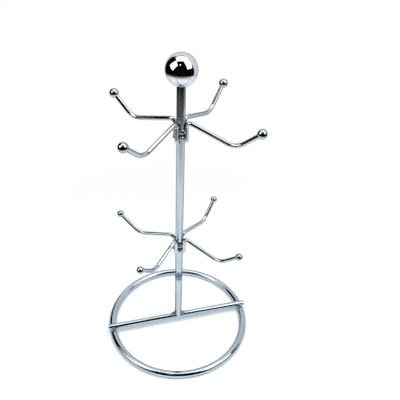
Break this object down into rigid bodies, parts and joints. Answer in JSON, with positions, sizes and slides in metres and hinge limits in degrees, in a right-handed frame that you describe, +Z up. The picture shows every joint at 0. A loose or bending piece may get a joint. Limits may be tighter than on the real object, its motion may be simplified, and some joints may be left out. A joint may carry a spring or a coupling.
{
  "type": "mug tree",
  "caption": "Free-standing chromed mug tree: rod ring base with a crossbar, upright post topped by a ball, and tiers of bent wire arms with ball tips that hang mugs by their handles.",
  "frame": {"origin": "middle of the base ring, on the table that it stands on", "axes": "+Z up along the post, +X along the crossbar"},
  "size_m": [0.17, 0.168, 0.334],
  "materials": {
    "chrome_rod": "polished chrome on steel rod",
    "chrome_wire": "polished chrome on bent steel wire",
    "chrome_ball": "mirror chrome on turned steel balls",
    "plated_weld": "chrome over rippled weld metal"
  },
  "bodies": {
    "root": {"base_ring": "chrome_rod", "crossbar": "chrome_rod", "ring_welds": "plated_weld", "post": "chrome_rod", "post_weld": "plated_weld", "top_ball": "chrome_ball", "upper_arm_front_left": "chrome_wire", "upper_tip_front_left": "chrome_ball", "upper_arm_front_right": "chrome_wire", "upper_tip_front_right": "chrome_ball", "upper_arm_back_left": "chrome_wire", "upper_tip_back_left": "chrome_ball", "upper_arm_back_right": "chrome_wire", "upper_tip_back_right": "chrome_ball", "upper_arm_welds": "plated_weld", "lower_arm_front_left": "chrome_wire", "lower_tip_front_left": "chrome_ball", "lower_arm_front_right": "chrome_wire", "lower_tip_front_right": "chrome_ball", "lower_arm_back_left": "chrome_wire", "lower_tip_back_left": "chrome_ball", "lower_arm_back_right": "chrome_wire", "lower_tip_back_right": "chrome_ball", "lower_arm_welds": "plated_weld"}
  },
  "joints": []
}
